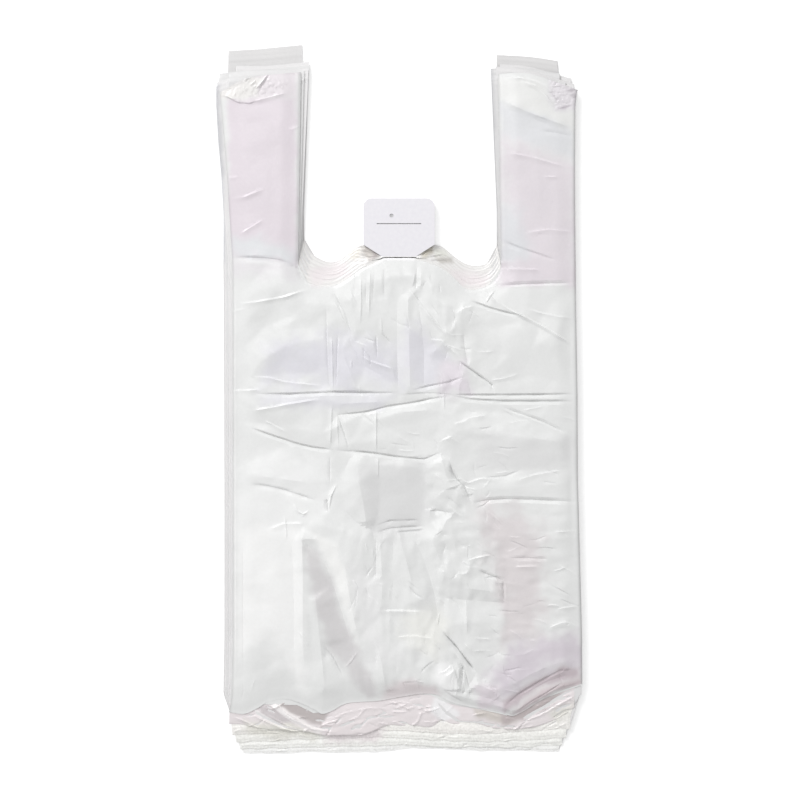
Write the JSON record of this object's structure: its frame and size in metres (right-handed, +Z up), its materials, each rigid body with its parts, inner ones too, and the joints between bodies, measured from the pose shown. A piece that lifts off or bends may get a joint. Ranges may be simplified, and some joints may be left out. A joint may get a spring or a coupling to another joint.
{
  "type": "pack of plastic carrier bags",
  "caption": "Pack of thin white plastic vest carrier bags on one hanging tab, lying flat: gusseted film tubes sealed at base and handle tops, with die-cut mouths, loop handles and a slit tab.",
  "frame": {"origin": "the middle of the pack's outline, on the surface that it lies on", "axes": "+X is to the right seen from the front, +Y points to the handles, +Z points up from the surface to the front bag"},
  "size_m": [0.2908, 0.56, 0.0106],
  "materials": {
    "bag_film": "thin, slightly glossy and slightly see-through white film",
    "tab_film": "many layers of white film, pressed flat"
  },
  "bodies": {
    "root": {"bag_1": "bag_film", "bag_2": "bag_film", "bag_3": "bag_film", "bag_4": "bag_film", "bag_5": "bag_film", "bag_6": "bag_film", "header_tab": "tab_film"}
  },
  "joints": []
}
